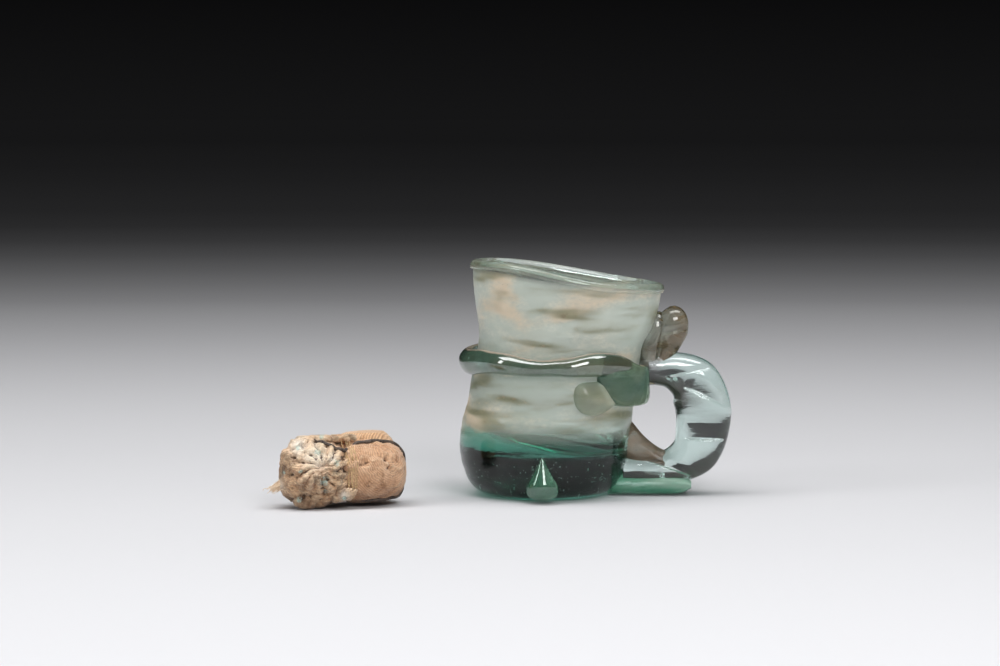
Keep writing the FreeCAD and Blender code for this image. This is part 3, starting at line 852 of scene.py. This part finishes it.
def crumpled(item, growth, pressure, most, voxel=0.42, lumps=()):
    """Cloth simulation of a stuffed piece with more cloth than it needs, so that it swells and buckles into
    folds. It is run 30 times as large, and no point moves more than most millimetres."""
    work = bmesh.new()
    for part in (item, *lumps):
        work.from_mesh(part.data)
    work.to_mesh(item.data)
    work.free()
    for part in lumps:
        bpy.data.objects.remove(part)
    even = item.modifiers.new("even", "REMESH")
    even.mode, even.voxel_size = "VOXEL", voxel * mm
    applied_modifier(item)
    start = points_of(item)
    big = 30.0
    moved(item, start * big)
    held = item.vertex_groups.new(name="held")
    along = (start[:, 0] / mm - waist_place.x) * math.cos(math.radians(bundle_turn)) + (
        start[:, 1] / mm - waist_place.y
    ) * math.sin(math.radians(bundle_turn))
    held.add(np.nonzero(np.abs(along) < 1.3)[0].tolist(), 1.0, "REPLACE")
    cloth = item.modifiers.new("cloth", "CLOTH")
    stuff = cloth.settings
    stuff.quality, stuff.mass = 4, 0.3
    stuff.tension_stiffness = stuff.compression_stiffness = 15
    stuff.shear_stiffness, stuff.bending_stiffness = 5, 0.05
    stuff.use_pressure, stuff.uniform_pressure_force = True, pressure
    stuff.shrink_min = -growth
    stuff.vertex_group_mass = "held"
    stuff.effector_weights.gravity = 0
    for frame in range(1, 21):
        bpy.context.scene.frame_set(frame)
    applied_modifier(item)
    bpy.context.scene.frame_set(1)
    shift = points_of(item) / big - start
    far = np.linalg.norm(shift, axis=1, keepdims=True) / mm
    moved(item, start + shift * (most * np.tanh(far / most) / np.maximum(far, 1e-6)))
    fine = item.modifiers.new("fine", "SUBSURF")
    fine.levels = 1
    applied_modifier(item)


def fronted(item, spots):
    """How near each point on the front is to a few places: across the view, up, and reach in millimetres."""
    where, facing = points_of(item) / mm, outward(item)
    share = np.zeros(len(where))
    for x, z, size in spots:
        away = ((where[:, 0] - x) ** 2 + (where[:, 2] - z) ** 2) / size**2
        share = np.maximum(share, np.exp(-away) * (facing[:, 1] < 0.35))
    return share


def kept(item, name, values):
    """Keeps a value at each point of a piece for its material to read."""
    item.data.attributes.new(name, "FLOAT", "POINT").data.foreach_set("value", np.asarray(values, float))


def relief(item, reach=14, deep=0.26):
    """Keeps how far each point lies in a crease or stands on a fold, from how the surface lies round it, for the
    cloth's painted shade in creases and painted highlight on folds.
    """
    spots = points_of(item)
    edges = np.empty(len(item.data.edges) * 2, int)
    item.data.edges.foreach_get("vertices", edges)
    edges = edges.reshape(-1, 2)
    count = np.bincount(edges.ravel(), minlength=len(spots))[:, None]
    mean = spots.copy()
    for _ in range(reach):
        total = np.zeros_like(mean)
        for axis in range(3):
            total[:, axis] = np.bincount(edges[:, 0], mean[edges[:, 1], axis], len(spots))
            total[:, axis] += np.bincount(edges[:, 1], mean[edges[:, 0], axis], len(spots))
        mean = total / count
    sunk = ((mean - spots) * outward(item)).sum(1) / mm / deep
    kept(item, "deep", np.clip(sunk, 0, 1))
    kept(item, "ridge", np.clip(-sunk - 0.25, 0, 1))


def linen(name, tones, threads, wander, helix=0.0, lines=0.6, round_spot=None, grey=0.0):
    """Handspun linen: threads that run along the bundle or round a place on it, wandering and worn, with dust and
    painted shade in the creases, painted shade towards the bottom and at a few marked places, a painted highlight on
    the folds, copper stain, and pale places where the piece says so, partly bleached and partly a painted highlight."""
    look = Look(name)
    light, middle, dark = (rgb(*tone) for tone in tones)
    centre = tuple(waist_place * mm + Vector((0, 0, 8.06 * mm)))
    spot = look.node("VectorMath", {"operation": "SUBTRACT"}, {0: look.node("TexCoord", out="Object"), 1: centre})
    spot = look.node("VectorRotate", {"rotation_type": "Z_AXIS"}, {"Vector": spot, "Angle": -math.radians(bundle_turn)})
    spot = look.node("VectorMath", {"operation": "MULTIPLY"}, {0: spot, 1: (1000, 1000, 1000)})
    along, across, up = look.axes(spot)
    turn = look.node("Math", {"operation": "ARCTAN2"}, {0: up, 1: 0.0 - across})
    drift = look.cloud(look.place(), 0.22, 3.0, 0.6) - 0.5
    tremble = look.cloud(look.place(), 0.9, 2.0, 0.5) - 0.5
    swing = drift * wander + tremble * (wander * 0.3)
    run = turn * threads + along * helix
    if round_spot:
        away = look.node("VectorMath", {"operation": "SUBTRACT"}, {0: look.place(), 1: round_spot})
        run = look.node("VectorMath", {"operation": "LENGTH"}, {0: away}, out="Value") * threads
    warp = look.node("Math", {"operation": "SINE"}, {0: run + swing}) * 0.5 + 0.5
    weft = look.node("Math", {"operation": "SINE"}, {0: along * 13.0 + turn * 5.0 + swing * 1.6}) * 0.5 + 0.5
    fuzz = look.cloud(look.place(), 5.0, 4.0, 0.7)
    thin = look.step(look.cloud(look.place(0.6, 0.6, 0.6), 0.7, 3.0, 0.6), 0.38, 0.62)
    cloth = warp * (0.45 + 0.35 * thin) + weft * (0.30 - 0.22 * thin) + fuzz * 0.25
    tone = look.cloud(look.place(), 0.16, 4.0, 0.55)
    # Noise for dark grime spots and tone, also used to break up the painted shade.
    grime_and_shade = look.cloud(look.place(), 0.55, 4.0, 0.6)
    deep = look.node("Attribute", {"attribute_name": "deep"}, out="Fac")
    copper = look.node("Attribute", {"attribute_name": "copper"}, out="Fac")
    washed = look.node("Attribute", {"attribute_name": "washed"}, out="Fac")
    base = look.mix(look.step(tone * 0.6 + grime_and_shade * 0.4, 0.36, 0.62), light, middle)
    # Pale places: bleached cloth, and a painted highlight where the head's top is lit.
    base = look.mix(washed * look.step(fuzz * 0.5 + grime_and_shade * 0.5, 0.24, 0.48), base, rgb(255, 246, 230))
    # Painted highlight: the tops of the folds are lighter, as if lit.
    ridge = look.node("Attribute", {"attribute_name": "ridge"}, out="Fac")
    base = look.mix(ridge * 0.55, base, rgb(248, 224, 190))
    if grey:
        clouds = look.step(look.cloud(look.place(), 0.33, 4.0, 0.6), 0.50, 0.62)
        base = look.mix(clouds * (1.0 - washed) * grey, base, rgb(118, 106, 88))
    base = look.mix((1.0 - cloth) * (1.0 - washed * 0.6) * lines, base, dark)
    # Painted shade at a few marked hollows, broken up by noise.
    shade = look.node("Attribute", {"attribute_name": "shade"}, out="Fac")
    base = look.mix(shade * look.step(grime_and_shade, 0.3, 0.6) * 0.75, base, dark)
    # Painted shade: darker towards the bottom of the cloth, its edge broken by the noise.
    base = look.mix(look.step(grime_and_shade * 3.0 - up, 1.5, 9.5) * 0.62, base, dark)
    base = look.mix(look.step(grime_and_shade, 0.56, 0.72) * 0.55, base, dark)
    stain = look.step(copper * (look.cloud(look.place(), 1.5, 4.0, 0.75) * 2.0), 0.66, 1.0) * 0.68
    base = look.mix(stain, base, look.mix(look.step(fuzz, 0.35, 0.65), rgb(128, 158, 146), rgb(196, 222, 214)))
    # Painted shade, with some dust, in the creases: the deeper a point lies, the darker.
    base = look.mix(look.step(deep, 0.12, 0.9) * 0.85, base, rgb(72, 50, 36))
    height = cloth + fuzz * 0.45 + look.cloud(look.place(), 1.6, 3.0, 0.6) * 0.8
    return look.finish(
        look.node(
            "BsdfPrincipled",
            inputs={
                "Base Color": base,
                "Roughness": 0.92,
                "Specular IOR Level": 0.25,
                "Sheen Weight": 0.25,
                "Normal": look.node("Bump", inputs={"Strength": 0.9, "Distance": 0.16 * mm, "Height": height}),
            },
        )
    )


def creased(item, amount, size, seed, pits=(), stretch=(1.0, 1.0, 1.0)):
    """Small folds and dents in the cloth, and deeper holes at a few places on its front."""
    where, facing = points_of(item), outward(item)
    spots = where / mm
    ridge = []
    for p in spots:
        here = Vector(p * stretch) / size + Vector((seed, 0, 0))
        here += 0.6 * noise.noise_vector(here * 0.6)
        ridge.append(0.5 - 1.1 * abs(noise.noise(here)) - 0.25 * abs(noise.noise(here * 2.6)))
    move = amount * np.array(ridge)
    for x, z, reach, depth in pits:
        away = ((spots[:, 0] - x) ** 2 + (spots[:, 2] - z) ** 2) / reach**2
        move = move - depth * np.exp(-away) * (facing[:, 1] < 0.2)
    moved(item, where + facing * (move * mm)[:, None])


def settled(item, low=0.05, high=17.55):
    """Rests the cloth on the floor and keeps it under its own top."""
    spots = points_of(item)
    soft = np.log1p(np.exp((spots[:, 2] / mm - low) / 0.25)) * 0.25 + low
    spots[:, 2] = np.minimum(soft, high) * mm
    moved(item, spots)


roll_rows = [
    (0.4, -0.2, 8.5, 4.6, 4.6),
    (1.7, -0.4, 8.5, 6.2, 5.9),
    (3.2, -0.5, 8.5, 7.4, 6.7),
    (6.6, -0.4, 8.4, 8.0, 6.9),
    (10.6, -0.2, 8.3, 7.8, 6.7),
    (14.2, 0.0, 8.2, 6.5, 5.9),
    (16.0, 0.2, 8.2, 4.4, 4.3),
    (16.8, 0.2, 8.2, 2.0, 2.1),
]
roll = skin("linen_roll", wrapped(smooth_rows(roll_rows, 60)))
crumpled(roll, 0.10, 3.0, 0.8)
creased(roll, 0.7, 3.4, 3.0, [(-38.7, 11.7, 0.5, 0.9), (-38.0, 9.7, 0.4, 0.8), (-43.4, 11.2, 0.9, 0.4)], (0.5, 1.0, 1.0))
creased(roll, 0.36, 1.0, 13.0, stretch=(0.45, 1.0, 1.0))
settled(roll)
relief(roll)
roll.data.materials.append(linen("worn_linen", ((232, 190, 154), (206, 158, 120), (108, 72, 50)), 14.5, 15.0, lines=0.42, round_spot=(-39.0, -24.0, 11.8)))
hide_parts("wrap_roll")
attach(roll, "relic")

# The fold: the cloth's outer end, turned back and laid along the top behind, where the weave shows slantwise.
fold_rows = [
    (1.2, 2.8, 13.6, 1.8, 1.9),
    (3.2, 3.0, 13.6, 3.6, 3.3),
    (6.8, 3.2, 13.9, 4.3, 3.8),
    (10.6, 3.3, 14.3, 4.4, 4.0),
    (13.6, 3.3, 13.4, 3.8, 3.6),
    (15.4, 3.2, 12.3, 2.6, 2.6),
    (16.1, 3.2, 11.8, 1.2, 1.2),
]
fold = skin("linen_fold", wrapped(smooth_rows(fold_rows, 50), 72))
crumpled(fold, 0.08, 3.0, 0.5, 0.36)
creased(fold, 0.22, 1.4, 8.0)
settled(fold)
relief(fold)
fold.data.materials.append(
    linen("slant_linen", ((246, 210, 172), (228, 182, 140), (124, 86, 58)), 60.0, 5.0, helix=-8.0, lines=0.6)
)
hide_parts("wrap_fold")
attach(fold, "relic")

# The head: the two ends of the cloth gathered beyond the tie and crushed into a knot of pleats, frayed, pale on
# its top, partly bleached and partly a painted highlight, and stained with copper from what it once lay beside.
head_rows = [
    (3.0, -0.3, 8.1, 4.8, 4.9),
    (2.0, -0.4, 8.1, 6.1, 6.1),
    (0.4, -0.6, 8.2, 7.0, 6.9),
    (-3.6, -0.9, 8.3, 8.0, 7.6),
    (-7.4, -0.9, 8.2, 7.6, 7.5),
    (-9.8, -0.9, 8.2, 5.7, 5.9),
    (-11.2, -0.9, 7.9, 3.5, 3.9),
    (-11.7, -0.9, 7.7, 1.5, 1.9),
]
head = skin("linen_head", wrapped(smooth_rows(head_rows, 64)))
lumps = []
for number, (x, y, z, wide, deep, high, tip) in enumerate(
    (
        (-48.4, -29.9, 3.6, 3.0, 1.6, 1.2, -28),
        (-57.0, -30.2, 1.9, 2.2, 2.4, 1.8, 10),
        (-54.4, -30.0, 3.2, 2.0, 2.2, 2.0, -14),
        (-58.8, -27.0, 14.6, 3.0, 2.4, 1.9, -38),
        (-54.2, -25.6, 16.4, 2.8, 1.8, 1.0, -6),
        (-49.4, -23.6, 16.5, 3.0, 1.7, 0.9, 6),
        (-60.6, -27.6, 6.8, 2.0, 2.6, 3.0, 14),
        (-60.6, -28.2, 11.2, 1.5, 2.6, 3.2, -24),
    )
):
    turns_here = np.linspace(0, math.pi, 14)[1:-1]
    sides_here = np.linspace(0, 2 * math.pi, 20, endpoint=False)
    balls = []
    for t in turns_here:
        flat = np.stack(
            [np.full(20, -math.cos(t) * wide), math.sin(t) * np.cos(sides_here) * deep, math.sin(t) * np.sin(sides_here) * high],
            axis=1,
        )
        slope = math.radians(-tip)
        balls.append(
            np.stack(
                [
                    x + flat[:, 0] * math.cos(slope) - flat[:, 2] * math.sin(slope),
                    y + flat[:, 1],
                    z + flat[:, 0] * math.sin(slope) + flat[:, 2] * math.cos(slope),
                ],
                axis=1,
            )
        )
    lumps.append(skin(f"lump_{number}", balls))
crumpled(head, 0.32, 2.0, 1.5, 0.36, lumps)
gather = (-53.6, 10.1)
where, facing = points_of(head), outward(head)
reach = np.hypot(where[:, 0] / mm - gather[0], where[:, 2] / mm - gather[1])
spread = np.arctan2(where[:, 2] / mm - gather[1], where[:, 0] / mm - gather[0])
pleats = np.sin(spread * 13 + 1.6 * np.sin(reach * 0.8)) * np.exp(-(((reach - 4.0) / 2.6) ** 2)) * (facing[:, 1] < 0)
moved(head, where + facing * (pleats * 0.42 * mm)[:, None])
creased(
    head,
    0.66,
    2.8,
    5.0,
    [
        (-48.1, 9.6, 0.8, 1.5),
        (-48.8, 12.2, 0.5, 0.7),
        (-60.5, 12.7, 0.7, 0.9),
        (-46.6, 5.3, 0.7, 1.2),
        (-58.2, 3.0, 0.8, 1.0),
        (-53.6, 5.3, 0.6, 0.7),
        (-53.8, 9.4, 0.6, 0.9),
        (-61.0, 8.6, 1.0, 0.9),
    ],
)
creased(head, 0.36, 1.0, 21.0)
settled(head)
relief(head)
# Pale places on the front of the head: bleaching, and a painted highlight on its lit top.
kept(head, "washed", fronted(head, [(-55.3, 13.0, 3.2), (-59.6, 15.4, 2.2), (-51.6, 12.6, 1.6), (-48.4, 3.6, 1.3), (-64.6, 5.6, 1.4)]))
kept(
    head,
    "copper",
    fronted(
        head,
        [
            (-59.6, 15.0, 1.0),
            (-55.0, 13.9, 1.5),
            (-54.0, 17.6, 1.2),
            (-50.2, 11.5, 1.4),
            (-53.1, 7.2, 1.9),
            (-52.9, 4.6, 1.1),
            (-48.6, 2.9, 1.2),
            (-58.8, 9.6, 1.0),
            (-59.3, 2.6, 1.3),
            (-63.0, 9.0, 0.8),
        ],
    ),
)
# Painted shade: a few hollows on the front of the head.
kept(head, "shade", fronted(head, [(-62.6, 9.6, 2.2), (-58.6, 2.4, 2.0), (-48.2, 9.4, 1.4), (-60.4, 12.4, 1.0), (-57.2, 6.6, 1.8)]))
head.data.materials.append(linen("crushed_linen", ((240, 206, 168), (206, 160, 120), (88, 60, 42)), 60.0, 30.0, lines=0.4, grey=0.6))
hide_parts("wrap_head")
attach(head, "relic")


# The tie: soft, pale thread wound round the waist and pulled tight, and the thing that gathers the cloth.
def strands(name, paths, sides=8):
    """Threads as one mesh: each path is its points and its half thickness along them."""
    points, faces = [], []
    for path, half in paths:
        path = np.asarray(path, float)
        way = np.gradient(path, axis=0)
        way /= np.linalg.norm(way, axis=1, keepdims=True)
        side = np.cross(way[0], (0.3, 0.2, 0.9))
        first = len(points)
        for number, (spot, forward, size) in enumerate(zip(path, way, np.broadcast_to(half, len(path)))):
            side = side - forward * side.dot(forward)
            side /= np.linalg.norm(side)
            other = np.cross(forward, side)
            for step in range(sides):
                turn = 2 * math.pi * step / sides
                points.append((spot + (side * math.cos(turn) + other * math.sin(turn)) * size) * mm)
            if number:
                row = first + (number - 1) * sides
                faces += [(row + s, row + (s + 1) % sides, row + sides + (s + 1) % sides, row + sides + s) for s in range(sides)]
        last = len(points) - sides
        faces.append(tuple(first + s for s in reversed(range(sides))))
        faces.append(tuple(last + s for s in range(sides)))
    mesh = bpy.data.meshes.new(name)
    mesh.from_pydata([tuple(p) for p in points], [], faces)
    mesh.shade_smooth()
    item = bpy.data.objects.new(name, mesh)
    bpy.context.scene.collection.objects.link(item)
    return item


def thread_look(name, light, dark, roughness=0.85):
    look = Look(name)
    fibre = look.cloud(look.place(), 3.0, 4.0, 0.65)
    long = look.cloud(look.place(), 0.5, 3.0)
    return look.finish(
        look.node(
            "BsdfPrincipled",
            inputs={
                "Base Color": look.mix(look.step(fibre * 0.6 + long * 0.4, 0.35, 0.62), rgb(*dark), rgb(*light)),
                "Roughness": roughness,
                "Normal": look.node("Bump", inputs={"Strength": 0.7, "Distance": 0.08 * mm, "Height": fibre}),
            },
        )
    )


cloth_tree = BVHTree.FromPolygons(
    [v.co for item in (roll, fold, head) for v in item.data.vertices],
    [
        [v + first for v in face.vertices]
        for item, first in zip((roll, fold, head), (0, len(roll.data.vertices), len(roll.data.vertices) + len(fold.data.vertices)))
        for face in item.data.polygons
    ],
)


def lying(path, proud, middle, settle=4):
    """A path drawn in or out to lie on the cloth, as a thread pulled tight does."""
    rested = []
    for p in path:
        spot = Vector(p) * mm
        heart = Vector(middle(p)) * mm
        hit = cloth_tree.ray_cast(spot + (spot - heart).normalized() * 0.012, (heart - spot).normalized())[0]
        rested.append((hit if hit else spot) + (spot - heart).normalized() * proud * mm)
    rested = np.array(rested) / mm
    for _ in range(settle):
        rested[1:-1] = (rested[:-2] + rested[1:-1] * 2 + rested[2:]) / 4
    return rested


loops = []
for number in range(8):
    steps = np.linspace(0, 2 * math.pi, 97)
    shift = np.array([noise.noise(Vector((math.cos(t), math.sin(t), number * 1.7))) for t in steps])
    across, up = -0.2 + 6.2 * np.cos(steps), 8.06 + 6.2 * np.sin(steps)
    along = 1.3 + number * 0.20 + 0.55 * shift - 0.6 * np.cos(steps)
    path = laid(np.stack([along, across, up], axis=1))
    heart = laid([(2.0, -0.2, 8.06)])[0]
    path = lying(path, 0.02, lambda p: heart)
    path[-1] = path[0]
    loops.append((path, 0.09 + 0.02 * (number % 3)))
tie = strands("waist_thread", loops)
tie.data.materials.append(thread_look("pale_thread", (214, 184, 140), (150, 116, 78)))
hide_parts("waist_tie")
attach(tie, "relic")

# The cord: a narrow dark thong, dried and cracked, over the top of the bundle and back under it.
cord_places = [
    (-5.6, -3.0, 17.0),
    (-3.7, -4.4, 16.0),
    (-1.2, -5.2, 15.2),
    (1.0, -5.2, 14.8),
    (2.9, -4.8, 14.4),
    (5.1, -3.6, 15.6),
    (8.2, -3.2, 15.6),
    (12.6, -2.0, 14.6),
    (15.7, -0.9, 13.0),
    (17.4, -0.3, 10.6),
    (17.8, 0.4, 7.8),
    (17.2, 0.0, 5.0),
    (15.9, -2.0, 3.1),
    (12.9, -4.6, 1.6),
    (9.4, -5.6, 1.3),
    (5.0, -5.6, 1.6),
]
cord_path = laid(smooth_rows(cord_places, 260))
ends = laid([(-4.0, 0.0, 8.0), (12.0, 0.0, 8.0)])
cord_path = lying(cord_path, 0.22, lambda p: (min(max(p[0], ends[0][0]), ends[1][0]), -24.0, 8.0), 30)
worn = np.array([0.42 + 0.12 * noise.noise(Vector(p) * 0.35) for p in cord_path])
worn += 0.14 * np.exp(-(((np.linspace(0, 15, 260) - 7.2) / 1.6) ** 2))
worn *= np.clip(np.minimum(np.arange(260), np.arange(260)[::-1]) / 22 + 0.25, 0, 1)
tucked = np.exp(-(((np.linspace(0, 1, 260) * 15 - 4.1) / 0.45) ** 2))
cord_path[:, 2] -= 1.3 * tucked
cord_path[:, 1] += 1.0 * tucked
cord = strands("dark_thong", [(cord_path, worn)], 16)
cord.data.materials.append(thread_look("cracked_thong", (96, 82, 72), (38, 32, 30), 0.6))
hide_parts("dark_cord")
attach(cord, "relic")

# The tuft: loose warp ends, frayed out into pale fibres at the end of the cloth, with a few stray ones round it.
fibres = []
for number in range(150):
    shake = [noise.noise(Vector((number * 3.7, axis * 5.1, 0.5))) * 2 for axis in range(6)]
    root = np.array([-62.9 + shake[0] * 0.6, -27.6 + shake[1] * 1.4, 6.3 + shake[2] * 1.3])
    length = 2.7 + abs(shake[3]) * (1.3 if number % 30 else 5.0)
    way = np.array([-1.0, shake[4] * 0.25, -0.36 - (root[2] - 6.0) * 0.26 + shake[5] * 0.2])
    along = np.linspace(0, 1, 9)[:, None]
    bend = np.array([0.0, 0.3 * shake[5], -0.4 + 0.4 * shake[4]]) * along**2
    path = root + way / np.linalg.norm(way) * length * along + bend
    path[:, 0] = np.maximum(path[:, 0], -68.4)
    path[:, 2] = np.maximum(path[:, 2], 0.4)
    fibres.append((path, np.linspace(0.11, 0.04, 9)))
tuft = strands("frayed_ends", fibres, 5)
tuft.data.materials.append(thread_look("frayed_flax", (252, 232, 206), (222, 188, 150)))
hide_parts("frayed_tuft")
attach(tuft, "relic")
